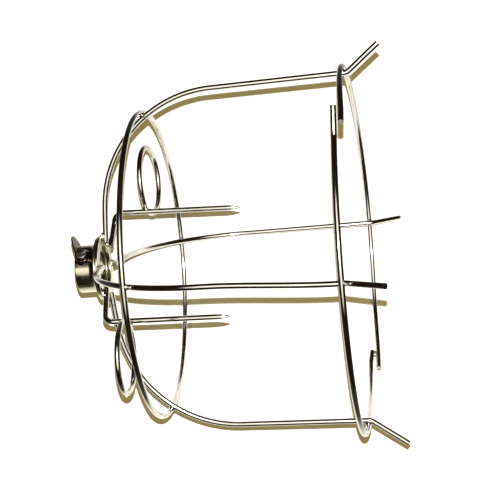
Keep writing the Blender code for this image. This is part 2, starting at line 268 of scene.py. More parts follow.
def sag_share(angle):
    low, high = SAG_SPAN
    if not low < angle < high:
        return 0.0
    return math.sin(math.pi * ((angle - low) / (high - low)) ** SAG_SKEW)


def mouth_path(name, wire, step):
    near, far, side, drawn, span, sag = HALF_RINGS[name]
    steps = round(math.radians(abs(far - near)) * MOUTH_RADIUS / step)
    points = []
    for angle in [near + (far - near) * index / steps for index in range(steps + 1)]:
        share = smoothstep(1 - abs(far - angle) / span)
        x = MOUTH_X + side * (wire + GAP) + drawn * share - sag * sag_share(angle)
        points.append(polar(x, MOUTH_RADIUS, angle))
    if name == TABBED:
        points = subdivided(tab_points(near, points[0].x), step) + points
    return points, Vector((1.0, 0.0, 0.0))


def tab_points(angle, x):
    """The finger tab: from its free end to where its bend leaves the hoop at the angle."""
    root = polar(x, MOUTH_RADIUS, angle)
    out, along = outward(angle), -sideways(angle)
    centre = root + out * TAB_BEND
    turns = [math.radians(TAB_TURN * step / TAB_STEPS) for step in range(1, TAB_STEPS + 1)]
    points = [centre + (along * math.sin(turn) - out * math.cos(turn)) * TAB_BEND for turn in turns]
    heading = along * math.cos(turns[-1]) + out * math.sin(turns[-1])
    points.append(points[-1] + heading * TAB_LENGTH)
    reach = (points[-1] - root).length
    for point in points:
        point.x += TAB_DRIFT * (point - root).length / reach
    return points[::-1]


def arm_path(side, wire, step):
    angle, radius, toe, length, _, _ = ARMS[side]
    corners = [Vector((HUB_FACE_X + GAP + wire / 2, FOOT_RADIUS)), Vector((ARM_BEND_X, radius)),
               Vector((ARM_BEND_X + length, radius + toe * length))]
    points = subdivided(rounded_path(corners, (ARM_BEND,)), step)
    return [polar(x, out, angle) for x, out in points], sideways(angle)


def loop_path(side, wire, step):
    angle, radius, toe, _, loop_x, loop_turn = ARMS[side]
    along = polar(1.0, toe, angle).normalized()
    across = sideways(angle)
    out = along.cross(across).normalized()
    if out.dot(outward(angle)) < 0:
        out = -out
    across = Matrix.Rotation(math.radians(loop_turn), 3, out) @ across
    centre = polar(loop_x, radius + toe * (loop_x - ARM_BEND_X), angle)
    centre += out * (wire + GAP + LOOP_RADIUS)
    steps = round(2 * math.pi * LOOP_RADIUS / step)
    turns = [2 * math.pi * index / steps for index in range(steps)]
    points = [centre + (out * math.cos(turn) + across * math.sin(turn)) * LOOP_RADIUS
              for turn in turns]
    return points, out.cross(across)


def shoulder_path(step):
    steps = round(2 * math.pi * SHOULDER_RADIUS / step)
    points = [polar(0.0, SHOULDER_RADIUS, 360 * index / steps) for index in range(steps)]
    return points, Vector((1.0, 0.0, 0.0))


def wire_paths(sizes):
    """Every wire's points and the direction square to the plane it is bent in."""
    wire, step = sizes.wire, sizes.step
    paths = {name: rib_path(name, step) for name in RIBS}
    paths["shoulder_ring"] = shoulder_path(step)
    paths.update({name: mouth_path(name, wire, step) for name in HALF_RINGS})
    for side in ARMS:
        paths["arm_" + side] = arm_path(side, wire, step)
        paths["loop_" + side] = loop_path(side, wire, step)
    return paths


class Spot:
    """A weld: where it is, the directions of the two wires, and the direction between them."""

    def __init__(self, centre, along, across, bead=(1.0, 1.0), body="cage"):
        self.centre, self.body = centre, body
        self.length, self.size = bead
        self.along = along.normalized()
        self.through = self.along.cross(across).normalized()
        self.across = self.through.cross(self.along)


def direction_at(points, index):
    return points[min(index + 1, len(points) - 1)] - points[max(index - 1, 0)]


def crossing(first, second):
    """The nearest points of two wires, as their indices."""
    best = min(((one - other).length_squared, index, place)
               for index, one in enumerate(first) for place, other in enumerate(second))
    return best[1], best[2]


def weld_spots(paths):
    spots = []
    for rib, hoop in WELDED:
        index, place = crossing(paths[rib][0], paths[hoop][0])
        centre = (paths[rib][0][index] + paths[hoop][0][place]) / 2
        spots.append(Spot(centre, direction_at(paths[rib][0], index),
                          direction_at(paths[hoop][0], place)))
    for name in list(RIBS) + ["arm_" + side for side in ARMS]:
        foot = paths[name][0][0].lerp(paths[name][0][1], 0.5)
        out = direction_at(paths[name][0], 0).normalized()
        seat = foot + out * FOOT_SEAT
        seat.x = HUB_FACE_X + GAP / 2
        spots.append(Spot(seat, out, paths[name][1], FOOT_BEAD))
    for side in ARMS:
        arm, loop = paths["arm_" + side][0], paths["loop_" + side][0]
        index, place = crossing(arm, loop)
        spots.append(Spot((arm[index] + loop[place]) / 2, direction_at(arm, index),
                          direction_at(loop, place), body=side + "_arm"))
    ideal = polar(MOUTH_X, MOUTH_RADIUS, LAP_ANGLE)
    upper, lower = [min(paths[name][0], key=lambda point: (point - ideal).length)
                    for name in HALF_RINGS]
    spots.append(Spot((upper + lower) / 2, sideways(LAP_ANGLE), outward(LAP_ANGLE), LAP_BEAD))
    return spots


# Mesh making

def finish_piece(solid, name, nodes, body, material):
    """Puts a finished mesh in the frame as one piece."""
    bmesh.ops.recalc_face_normals(solid, faces=solid.faces)
    bmesh.ops.transform(solid, matrix=AXES, verts=solid.verts)
    mesh = bpy.data.meshes.new(name)
    solid.to_mesh(mesh)
    solid.free()
    mesh.shade_smooth()
    mesh.set_sharp_from_angle(angle=math.radians(SHARP_ANGLE))
    piece = bpy.data.objects.new(name, mesh)
    bpy.context.collection.objects.link(piece)
    mesh.materials.append(material)
    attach(piece, body)
    if nodes:
        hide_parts(*nodes)


def section_at(points, normal, index, closed):
    """Axes of the wire's section at a point: Z along the wire, Y square to its plane."""
    count = len(points)
    if closed:
        ahead, behind = points[(index + 1) % count], points[index - 1]
    else:
        ahead, behind = points[min(index + 1, count - 1)], points[max(index - 1, 0)]
    along = (ahead - behind).normalized()
    flat = (normal - along * normal.dot(along)).normalized()
    turn = Matrix((flat.cross(along), flat, along)).transposed().to_4x4()
    return Matrix.Translation(points[index]) @ turn


def bend_wire(points, normal, sizes, scales=None, closed=False):
    """A round wire drawn along the points, with its length and round kept on each vertex."""
    solid = bmesh.new()
    drawn = solid.verts.layers.float_vector.new("drawn")
    radius = sizes.wire / 2
    scales = scales or [(1.0, 1.0)] * len(points)
    travelled = 0.0

    def section(index):
        wide, tall = scales[index % len(points)]
        place = section_at(points, normal, index % len(points), closed)
        return place @ Matrix.Diagonal((wide, tall, 1.0, 1.0))

    def mark(verts, place):
        for vert in verts:
            local = place.inverted() @ vert.co
            vert[drawn] = (travelled, local.x, local.y)

    here = section(0)
    ring = bmesh.ops.create_circle(solid, cap_ends=not closed, segments=sizes.facets,
                                   radius=radius, matrix=here)["verts"]
    mark(ring, here)
    edges = solid.edges[:]
    last = len(points) if closed else len(points) - 1
    for index in range(1, last + 1):
        there = section(index)
        made = bmesh.ops.extrude_edge_only(solid, edges=edges)["geom"]
        verts = [item for item in made if isinstance(item, bmesh.types.BMVert)]
        ends = set(verts)
        edges = [item for item in made if isinstance(item, bmesh.types.BMEdge)
                 and set(item.verts) <= ends]
        bmesh.ops.transform(solid, matrix=there @ here.inverted(), verts=verts)
        travelled += (points[index % len(points)] - points[index - 1]).length
        mark(verts, there)
        here = there
    if closed:
        bmesh.ops.remove_doubles(solid, verts=solid.verts, dist=NOTHING)
    else:
        bmesh.ops.edgenet_fill(solid, edges=edges)
    return solid


def heat_up(solid, spots, reach=WIRE_HEAT):
    """Keeps on each vertex how near it is to a weld, from 0 to 1."""
    heat = solid.verts.layers.float.new("heat")
    for vert in solid.verts:
        nearest = min((vert.co - spot.centre).length for spot in spots)
        vert[heat] = math.exp(-(nearest / reach) ** 2)


def roughen_cuts(solid):
    """Keeps on each vertex whether it is on a sheared end, which is matt."""
    cut = solid.verts.layers.float.new("cut")
    for face in solid.faces:
        if len(face.verts) > 4:
            for vert in face.verts:
                vert[cut] = 1.0


def cut_ends(count):
    """Scales of the sections, with the sheared ends drawn in a little."""
    return [CUT_SCALE] + [(1.0, 1.0)] * (count - 2) + [CUT_SCALE]


def end_steps(points):
    """The path with one more point just inside each end, so that only the edge is drawn in."""
    first = points[0].lerp(points[1], CUT_EDGE / (points[1] - points[0]).length)
    final = points[-1].lerp(points[-2], CUT_EDGE / (points[-2] - points[-1]).length)
    return [points[0], first] + points[1:-1] + [final, points[-1]]


def turned_shape(profile, steps):
    """A closed shape spun about X from its outline of (x, radius) points."""
    solid = bmesh.new()
    verts = [solid.verts.new((x, 0.0, radius)) for x, radius in profile]
    edges = [solid.edges.new(pair) for pair in zip(verts, verts[1:] + verts[:1])]
    bmesh.ops.spin(solid, geom=verts + edges, cent=(0, 0, 0), axis=(1, 0, 0),
                   angle=2 * math.pi, steps=steps, use_merge=True)
    bmesh.ops.remove_doubles(solid, verts=solid.verts, dist=NOTHING / 10)
    return solid


def keep_turned_marks(solid, spots, reach):
    """Keeps the length and round of a turned sheet on its vertices, and the welds' heat."""
    drawn = solid.verts.layers.float_vector.new("drawn")
    for vert in solid.verts:
        vert[drawn] = (vert.co.x, vert.co.y, vert.co.z)
    heat_up(solid, spots, reach)


def paint_shade(solid, share_at):
    """Keeps on each vertex how far painted shade darkens the plating there, from 0 to 1."""
    painted_shade = solid.verts.layers.float.new("painted_shade")
    for vert in solid.verts:
        vert[painted_shade] = share_at(vert.co)


def collar_painted_shade(point):
    """The lug and the wall round the set screw get painted shade, up to a fairly sharp edge."""
    angle = math.degrees(math.atan2(-point.y, point.z))
    starts = smoothstep((angle - PAINTED_SHADE_SPAN[0]) / PAINTED_SHADE_FADES[0])
    ends = smoothstep((PAINTED_SHADE_SPAN[1] - angle) / PAINTED_SHADE_FADES[1])
    return starts * ends * smoothstep((PAINTED_SHADE_END_X - point.x) / PAINTED_SHADE_EDGE)


def arc(centre, radius, start, end, steps):
    """Points (x, radius from the axis) on a round stretch of a turned outline."""
    turns = [math.radians(start + (end - start) * step / steps) for step in range(steps + 1)]
    return [(centre[0] + radius * math.sin(turn), centre[1] + radius * math.cos(turn))
            for turn in turns]


# Finishes

def shader_group(name, inputs, outputs):
    """A node group with its sockets, and its input and output nodes."""
    tree = bpy.data.node_groups.new(name, "ShaderNodeTree")
    for socket, kind, value in inputs:
        made = tree.interface.new_socket(name=socket, in_out="INPUT", socket_type=kind)
        if value is not None:
            made.default_value = value
    for socket, kind in outputs:
        tree.interface.new_socket(name=socket, in_out="OUTPUT", socket_type=kind)
    return tree, tree.nodes.new("NodeGroupInput"), tree.nodes.new("NodeGroupOutput")


def feed(tree, socket, value):
    """Links another node's output to a socket, or sets a plain value on it."""
    if isinstance(value, bpy.types.NodeSocket):
        tree.links.new(value, socket)
    else:
        socket.default_value = value


def math_node(tree, operation, *values, clamp=False):
    node = tree.nodes.new("ShaderNodeMath")
    node.operation = operation
    node.use_clamp = clamp
    for socket, value in zip(node.inputs, values):
        feed(tree, socket, value)
    return node.outputs[0]


def ranged(tree, value, low, high, to_low, to_high):
    node = tree.nodes.new("ShaderNodeMapRange")
    node.interpolation_type = "SMOOTHSTEP"
    tree.links.new(value, node.inputs["Value"])
    for name, amount in zip(("From Min", "From Max", "To Min", "To Max"),
                            (low, high, to_low, to_high)):
        feed(tree, node.inputs[name], amount)
    return node.outputs["Result"]


def noise(tree, vector, scale, detail=3.0):
    node = tree.nodes.new("ShaderNodeTexNoise")
    for name, value in (("Vector", vector), ("Scale", scale), ("Detail", detail),
                        ("Roughness", 0.55)):
        feed(tree, node.inputs[name], value)
    return node.outputs["Fac"]


def mixed(tree, share, first, second):
    node = tree.nodes.new("ShaderNodeMix")
    node.data_type = "RGBA"
    colours = [socket for socket in node.inputs if socket.type == "RGBA"]
    for socket, value in zip([node.inputs[0]] + colours, (share, first, second)):
        feed(tree, socket, value)
    return next(socket for socket in node.outputs if socket.type == "RGBA")


def drawing_marks_group():
    """Fine lines left along the wire or sheet by the drawing die."""
    tree, given, result = shader_group(
        "Drawing Marks",
        [("Drawn", "NodeSocketVector", None), ("Along", "NodeSocketFloat", 90.0),
         ("Across", "NodeSocketFloat", 3200.0)],
        [("Mark", "NodeSocketFloat")])
    parts = tree.nodes.new("ShaderNodeSeparateXYZ")
    tree.links.new(given.outputs["Drawn"], parts.inputs[0])
    joined = tree.nodes.new("ShaderNodeCombineXYZ")
    for name, scale in (("X", "Along"), ("Y", "Across"), ("Z", "Across")):
        stretched = math_node(tree, "MULTIPLY", parts.outputs[name], given.outputs[scale])
        tree.links.new(stretched, joined.inputs[name])
    lines = noise(tree, joined.outputs[0], 1.0, detail=2.0)
    tree.links.new(ranged(tree, lines, 0.3, 0.7, 0.0, 1.0), result.inputs["Mark"])
    return tree


def plating_group():
    """Clouds of duller plating and small dark specks."""
    tree, given, result = shader_group(
        "Plating Wear",
        [("Place", "NodeSocketVector", None), ("Cloud Scale", "NodeSocketFloat", 60.0),
         ("Speck Scale", "NodeSocketFloat", 900.0), ("Speck Size", "NodeSocketFloat", 0.16)],
        [("Dullness", "NodeSocketFloat"), ("Specks", "NodeSocketFloat")])
    clouds = noise(tree, given.outputs["Place"], given.outputs["Cloud Scale"], detail=5.0)
    fine = noise(tree, given.outputs["Place"], 1400.0, detail=2.0)
    blend = math_node(tree, "MULTIPLY_ADD", fine, 0.25, clouds)
    tree.links.new(ranged(tree, blend, 0.50, 0.82, 0.0, 1.0), result.inputs["Dullness"])
    cells = tree.nodes.new("ShaderNodeTexVoronoi")
    tree.links.new(given.outputs["Place"], cells.inputs["Vector"])
    tree.links.new(given.outputs["Speck Scale"], cells.inputs["Scale"])
    dots = ranged(tree, cells.outputs["Distance"], 0.0, given.outputs["Speck Size"], 1.0, 0.0)
    sparse = ranged(tree, clouds, 0.52, 0.62, 0.0, 1.0)
    tree.links.new(math_node(tree, "MULTIPLY", dots, sparse), result.inputs["Specks"])
    return tree


def heat_group():
    """Heat colours round the welds: metal, then straw, then scorched, broken up a little."""
    tree, given, result = shader_group(
        "Weld Heat",
        [("Place", "NodeSocketVector", None), ("Heat", "NodeSocketFloat", 0.0),
         ("Metal", "NodeSocketColor", (0.8, 0.8, 0.8, 1.0)),
         ("Straw", "NodeSocketColor", (0.7, 0.6, 0.4, 1.0)),
         ("Scorch", "NodeSocketColor", (0.2, 0.17, 0.14, 1.0))],
        [("Colour", "NodeSocketColor"), ("Burnt", "NodeSocketFloat")])
    broken = noise(tree, given.outputs["Place"], 700.0)
    uneven = math_node(tree, "MULTIPLY_ADD", broken, 0.5, 0.72)
    heat = math_node(tree, "MULTIPLY", given.outputs["Heat"], uneven, clamp=True)
    straw = ranged(tree, heat, 0.08, 0.42, 0.0, 0.75)
    burnt = ranged(tree, heat, 0.38, 0.85, 0.0, 0.8)
    warm = mixed(tree, straw, given.outputs["Metal"], given.outputs["Straw"])
    tree.links.new(mixed(tree, burnt, warm, given.outputs["Scorch"]), result.inputs["Colour"])
    tree.links.new(burnt, result.inputs["Burnt"])
    return tree


def group_node(tree, group, values):
    node = tree.nodes.new("ShaderNodeGroup")
    node.node_tree = bpy.data.node_groups.get(group) or GROUPS[group]()
    for name, value in values.items():
        feed(tree, node.inputs[name], value)
    return node


GROUPS = {"Drawing Marks": drawing_marks_group, "Plating Wear": plating_group,
          "Weld Heat": heat_group}


def new_finish(name, **inputs):
    """A material with its tree and shader, some plain inputs set, and the Object coordinates."""
    made = bpy.data.materials.new(name)
    made.use_nodes = True
    tree = made.node_tree
    shader = tree.nodes["Principled BSDF"]
    for socket, value in inputs.items():
        shader.inputs[socket.replace("_", " ")].default_value = value
    return made, tree, shader, tree.nodes.new("ShaderNodeTexCoord").outputs["Object"]


def kept_on_mesh(tree, name, output="Fac"):
    """A value that the mesh carries on its vertices; 0 where it has none."""
    node = tree.nodes.new("ShaderNodeAttribute")
    node.attribute_name = name
    return node.outputs[output]


def raise_relief(tree, shader, height, strength, depth):
    bump = tree.nodes.new("ShaderNodeBump")
    for name, value in (("Strength", strength), ("Distance", depth), ("Height", height)):
        feed(tree, bump.inputs[name], value)
    tree.links.new(bump.outputs["Normal"], shader.inputs["Normal"])


def plated_metal(name, tone, smooth, dull, along=90.0, across=3200.0, relief=0.12,
                 cloud_scale=60.0):
    """Bright plated steel with drawing marks, duller clouds, specks, heat round its welds and
    painted shade.
    """
    if name in bpy.data.materials:
        return bpy.data.materials[name]
    finish = bpy.context.scene.guard_finish
    made, tree, shader, place = new_finish(name, Metallic=1.0)
    marks = group_node(tree, "Drawing Marks", {
        "Drawn": kept_on_mesh(tree, "drawn", "Vector"), "Along": along, "Across": across})
    wear = group_node(tree, "Plating Wear", {"Place": place, "Cloud Scale": cloud_scale})
    warm = group_node(tree, "Weld Heat", {
        "Place": place, "Heat": kept_on_mesh(tree, "heat"), "Metal": (*tone, 1.0),
        "Straw": (*finish.straw, 1.0), "Scorch": (*finish.scorch, 1.0)})
    dulled = math_node(tree, "MULTIPLY", wear.outputs["Dullness"], 0.16)
    shade = mixed(tree, dulled, warm.outputs["Colour"], (*finish.dull, 1.0))
    specked = math_node(tree, "MULTIPLY", wear.outputs["Specks"], 0.6)
    shade = mixed(tree, specked, shade, (*finish.speck, 1.0))
    # painted shade: where the mesh carries it, the plating is painted near-black, a little patchy
    patchy = math_node(tree, "MULTIPLY_ADD", wear.outputs["Dullness"], 0.35, 0.70)
    painted_shade_share = math_node(tree, "MULTIPLY", kept_on_mesh(tree, "painted_shade"), patchy, clamp=True)
    tree.links.new(mixed(tree, painted_shade_share, shade, (*finish.painted_shade, 1.0)), shader.inputs["Base Color"])
    rough = ranged(tree, wear.outputs["Dullness"], 0.0, 1.0, smooth, dull)
    rough = math_node(tree, "MULTIPLY_ADD", marks.outputs["Mark"], 0.05, rough)
    rough = math_node(tree, "MULTIPLY_ADD", warm.outputs["Burnt"], 0.22, rough)
    rough = math_node(tree, "MULTIPLY_ADD", kept_on_mesh(tree, "cut"), 0.4, rough, clamp=True)
    tree.links.new(rough, shader.inputs["Roughness"])
    height = math_node(tree, "MULTIPLY_ADD", wear.outputs["Specks"], -0.8, marks.outputs["Mark"])
    raise_relief(tree, shader, height, relief, 0.00005)
    return made


def wire_finish():
    return plated_metal("bright_plated_wire", bpy.context.scene.guard_finish.wire, 0.05, 0.11)


def sheet_finish():
    return plated_metal("plated_sheet", bpy.context.scene.guard_finish.sheet, 0.10, 0.20,
                        along=260.0, across=1300.0, relief=0.16, cloud_scale=140.0)


def screw_finish():
    return plated_metal("dull_screw", bpy.context.scene.guard_finish.screw, 0.28, 0.42,
                        along=1800.0, across=1800.0, relief=0.25, cloud_scale=400.0)


def weld_finish():
    """Lumpy, slightly scorched metal squeezed out of a weld."""
    name = "weld_metal"
    if name in bpy.data.materials:
        return bpy.data.materials[name]
    finish = bpy.context.scene.guard_finish
    made, tree, shader, place = new_finish(name, Metallic=1.0)
    wear = group_node(tree, "Plating Wear", {"Place": place, "Cloud Scale": 600.0,
                                             "Speck Scale": 2200.0, "Speck Size": 0.3})
    lumps = noise(tree, place, 1500.0)
    colour = mixed(tree, wear.outputs["Dullness"], (*finish.weld, 1.0), (*finish.scorch, 1.0))
    tree.links.new(colour, shader.inputs["Base Color"])
    rough = ranged(tree, lumps, 0.3, 0.7, 0.16, 0.36)
    tree.links.new(rough, shader.inputs["Roughness"])
    raise_relief(tree, shader, lumps, 0.5, 0.0002)
    return made


# Operators, one for each group of pieces

class GUARD_OT_ribs(bpy.types.Operator):
    """Bend the four ribs from the hub, over the shoulder hoop, to their splayed tips"""
    bl_idname = "guard.ribs"
    bl_label = "Build Ribs"

    def execute(self, context):
        sizes = context.scene.guard_sizes
        paths = wire_paths(sizes)
        spots = weld_spots(paths)
        for name in RIBS:
            points = end_steps(paths[name][0])
            solid = bend_wire(points, paths[name][1], sizes, cut_ends(len(points)))
            heat_up(solid, spots)
            finish_piece(solid, name + "_wire", [name], "cage", wire_finish())
        return {"FINISHED"}


class GUARD_OT_hoops(bpy.types.Operator):
    """Bend the shoulder hoop and the two lapped halves of the mouth hoop"""
    bl_idname = "guard.hoops"
    bl_label = "Build Hoops"

    def execute(self, context):
        sizes = context.scene.guard_sizes
        paths = wire_paths(sizes)
        spots = weld_spots(paths)
        solid = bend_wire(*paths["shoulder_ring"], sizes, closed=True)
        heat_up(solid, spots)
        finish_piece(solid, "shoulder_hoop", ["shoulder_ring"], "cage", wire_finish())
        for name in HALF_RINGS:
            points = end_steps(paths[name][0])
            solid = bend_wire(points, paths[name][1], sizes, cut_ends(len(points)))
            roughen_cuts(solid)
            heat_up(solid, spots)
            piece = name.replace("ring", "hoop")
            finish_piece(solid, piece, [name], "cage", wire_finish())
        return {"FINISHED"}


class GUARD_OT_arms(bpy.types.Operator):
    """Bend the two spring arms, grind their points and weld on the pull loops"""
    bl_idname = "guard.arms"
    bl_label = "Build Arms"

    def execute(self, context):
        sizes = context.scene.guard_sizes
        paths = wire_paths(sizes)
        spots = weld_spots(paths)
        for side in ARMS:
            points = end_steps(paths["arm_" + side][0])
            scales = cut_ends(len(points))
            for index, point in enumerate(points):
                left = (point - points[-1]).length / ARM_POINT
                if left < 1.0:
                    size = 1.0 - POINT_TAPER * (1.0 - left) ** 2.0
                    scales[index] = (size, size)
            solid = bend_wire(points, paths["arm_" + side][1], sizes, scales)
            heat_up(solid, spots)
            finish_piece(solid, "spring_arm_" + side, ["arm_" + side], side + "_arm",
                         wire_finish())
            solid = bend_wire(*paths["loop_" + side], sizes, closed=True)
            heat_up(solid, spots)
            finish_piece(solid, "pull_loop_" + side, ["loop_" + side], side + "_arm",
                         wire_finish())
        return {"FINISHED"}


class GUARD_OT_collar(bpy.types.Operator):
    """Turn the flared neck collar with its leaning lug, and the hub washer"""
    bl_idname = "guard.collar"
    bl_label = "Build Collar and Washer"

    def execute(self, context):
        sizes = context.scene.guard_sizes
        spots = weld_spots(wire_paths(sizes))
        lip_back = HUB_FACE_X - WASHER_THICKNESS - GAP - TUBE_WALL
        bend = (lip_back - LIP_BEND, TUBE_RADIUS + LIP_BEND)
        round_edge = TUBE_WALL * 0.3
        profile = arc((lip_back + TUBE_WALL - round_edge, LIP_RADIUS - round_edge), round_edge,
                      90, 0, 4)
        profile += arc((lip_back + round_edge, LIP_RADIUS - round_edge), round_edge, 0, -90, 4)
        profile += arc(bend, LIP_BEND, 90, 180, 20)
        tube_end = TUBE_END_X + round_edge
        outer_edge = (tube_end, TUBE_RADIUS - round_edge)
        inner_edge = (tube_end, TUBE_RADIUS - TUBE_WALL + round_edge)
        tube_steps = 10
        profile += [(bend[0] + (tube_end - bend[0]) * step / tube_steps, TUBE_RADIUS)
                    for step in range(1, tube_steps)]
        profile += arc(outer_edge, round_edge, 0, -90, 4)
        profile += arc(inner_edge, round_edge, -90, -180, 4)
        profile += arc(bend, LIP_BEND + TUBE_WALL, 180, 90, 20)
        solid = turned_shape(profile, sizes.turn_steps)
        add_lug(solid)
        keep_turned_marks(solid, spots, COLLAR_HEAT)
        # painted shade on the lug and on the wall round the set screw
        paint_shade(solid, collar_painted_shade)
        finish_piece(solid, "flared_collar", ["neck_collar"], "cage", sheet_finish())

        back, edge = HUB_FACE_X - WASHER_THICKNESS, 0.0004
        profile = arc((HUB_FACE_X - edge, WASHER_RADIUS - edge), edge, 90, 0, 5)
        profile += arc((back + edge / 2, WASHER_RADIUS - edge / 2), edge / 2, 0, -90, 4)
        profile += arc((back + edge / 2, WASHER_BORE + edge / 2), edge / 2, -90, -180, 4)
        profile += arc((HUB_FACE_X - edge, WASHER_BORE + edge), edge, 180, 90, 5)
        solid = turned_shape(profile, sizes.turn_steps)
        keep_turned_marks(solid, spots, WASHER_HEAT)
        finish_piece(solid, "hub_washer_plate", ["hub_washer"], "cage", sheet_finish())
        return {"FINISHED"}


def add_lug(solid):
    """Adds the lug to the collar: sheet that rises from the rim, bends and leans outwards."""
    turn = math.radians(90 - LUG_LEAN)
    middle = TUBE_RADIUS - TUBE_WALL / 2
    start_x = TUBE_END_X + TUBE_WALL * 1.1
    tallest = (LUG_PEAK - middle) / math.sin(turn) + LUG_BEND * 0.2
    columns, rows = LUG_GRID
    lug = bmesh.new()
    grid = bmesh.ops.create_grid(lug, x_segments=columns, y_segments=rows, size=1.0)["verts"]
    for vert in grid:
        share = vert.co.x
        rise = math.cos(share * math.pi / 2) ** 1.6
        height = (vert.co.y + 1) / 2 * (tallest * rise + 0.0002)
        swept = min(turn, height / LUG_BEND)
        straight = max(0.0, height - LUG_BEND * turn)
        x = start_x - LUG_BEND * math.sin(swept) - straight * math.cos(turn)
        radius = middle + LUG_BEND * (1 - math.cos(swept)) + straight * math.sin(turn)
        vert.co = polar(x, radius, LUG_ANGLE + share * LUG_HALF_SPAN)
    bmesh.ops.recalc_face_normals(lug, faces=lug.faces)
    bmesh.ops.solidify(lug, geom=lug.faces[:], thickness=LUG_THICKNESS)
    centre = sum((vert.co for vert in grid), Vector()) / len(grid)
    everything = sum((vert.co for vert in lug.verts), Vector()) / len(lug.verts)
    bmesh.ops.translate(lug, verts=lug.verts, vec=centre - everything)
    bmesh.ops.recalc_face_normals(lug, faces=lug.faces)
    mesh = bpy.data.meshes.new("lug")
    lug.to_mesh(mesh)
    lug.free()
    solid.from_mesh(mesh)
    bpy.data.meshes.remove(mesh)


class GUARD_OT_screw(bpy.types.Operator):
    """Raise the boss on the collar and turn the slotted set screw through it"""
    bl_idname = "guard.screw"
    bl_label = "Build Boss and Set Screw"

    def execute(self, context):
        sizes = context.scene.guard_sizes
        spots = weld_spots(wire_paths(sizes))
        foot = BOSS_RADIUS + BOSS_FLARE
        hole, lead = SCREW_RADIUS + GAP / 2, 0.0002
        flare = arc((BOSS_FLARE, foot), BOSS_FLARE, 270, 180, 8)[::-1]
        profile = [(0.0, foot)] + [(x, radius) for x, radius in flare if x > 2 * NOTHING]
        profile += arc((BOSS_HEIGHT - BOSS_ROUND, BOSS_RADIUS - BOSS_ROUND), BOSS_ROUND, 0, 90, 5)
        profile += [(BOSS_HEIGHT, hole + lead), (BOSS_HEIGHT - lead, hole), (-BOSS_SINK, hole),
                    (-BOSS_SINK, foot)]
        solid = turned_shape(profile, 72)
        for vert in solid.verts:
            share = min(1.0, max(0.0, 1 - vert.co.x / BOSS_HEIGHT))
            wall = math.sqrt(TUBE_RADIUS ** 2 - vert.co.z ** 2) - TUBE_RADIUS
            vert.co.x += wall * share
        keep_turned_marks(solid, spots, COLLAR_HEAT)
        # painted shade over the whole boss
        paint_shade(solid, lambda point: 1.0)
        stand = screw_axes() @ Matrix.Translation((0, 0, TUBE_RADIUS)) @ UPRIGHT
        bmesh.ops.transform(solid, matrix=stand, verts=solid.verts)
        finish_piece(solid, "screw_boss_flare", ["screw_boss"], "cage", sheet_finish())

        seat = TUBE_RADIUS + GAP + BOSS_HEIGHT
        low = TUBE_RADIUS - TUBE_WALL - SCREW_REACH - seat
        bevel = HEAD_CHAMFER
        profile = [(0.0, HEAD_RADIUS - bevel / 2), (bevel / 2, HEAD_RADIUS)]
        profile += arc((HEAD_HEIGHT - bevel, HEAD_RADIUS - bevel), bevel, 0, 80, 4)
        profile += [(HEAD_HEIGHT + 0.00005, NOTHING), (low, NOTHING), (low, SCREW_RADIUS * 0.55)]
        x = low + 0.0006
        while x < -0.0002:
            profile += [(x, SCREW_RADIUS * THREAD_ROOT), (x + THREAD_PITCH / 2, SCREW_RADIUS)]
            x += THREAD_PITCH
        profile.append((0.0, SCREW_RADIUS))
        solid = turned_shape(profile, 64)
        cut_slot(solid)
        keep_turned_marks(solid, spots, SCREW_HEAT)
        # painted shade over most of the screw
        paint_shade(solid, lambda point: 0.8)
        stand = screw_axes() @ Matrix.Translation((0, 0, seat + GAP)) @ UPRIGHT
        bmesh.ops.transform(solid, matrix=stand, verts=solid.verts)
        finish_piece(solid, "slotted_set_screw", ["set_screw"], "clamp_screw",
                     screw_finish())
        return {"FINISHED"}


def screw_axes():
    """Axes with Z along the set screw, away from the collar, and X along the guard."""
    out, along = outward(SCREW_ANGLE), Vector((1.0, 0.0, 0.0))
    turn = Matrix((along, out.cross(along), out)).transposed().to_4x4()
    return Matrix.Translation((SCREW_X, 0.0, 0.0)) @ turn


def cut_slot(solid):
    """Sinks the driver's slot into the head of a screw that is turned about X."""
    turn = math.radians(SLOT_TURN)
    across = Vector((0.0, math.cos(turn), math.sin(turn)))
    floor = HEAD_HEIGHT - SLOT_DEPTH
    for spot, square in ((across * -SLOT_WIDTH / 2, across), (across * SLOT_WIDTH / 2, across),
                         ((floor, 0, 0), (1, 0, 0))):
        geometry = solid.verts[:] + solid.edges[:] + solid.faces[:]
        bmesh.ops.bisect_plane(solid, geom=geometry, dist=NOTHING / 100, plane_co=spot,
                               plane_no=square)
    sunk = [face for face in solid.faces
            if abs(face.calc_center_median().dot(across)) < SLOT_WIDTH / 2
            and face.calc_center_median().x > floor + NOTHING]
    bmesh.ops.delete(solid, geom=sunk, context="FACES")
    rims = [edge for edge in solid.edges if len(edge.link_faces) == 1]
    bmesh.ops.holes_fill(solid, edges=rims, sides=0)


class GUARD_OT_welds(bpy.types.Operator):
    """Squeeze a small bead out of every weld between the wires, and at the hub and the lap"""
    bl_idname = "guard.welds"
    bl_label = "Build Welds"

    def execute(self, context):
        sizes = context.scene.guard_sizes
        spots = weld_spots(wire_paths(sizes))
        for body in sorted({spot.body for spot in spots}):
            solid = bmesh.new()
            for number, spot in enumerate(spot for spot in spots if spot.body == body):
                add_bead(solid, spot, sizes.weld, number)
            finish_piece(solid, body + "_welds", [], body, weld_finish())
        return {"FINISHED"}


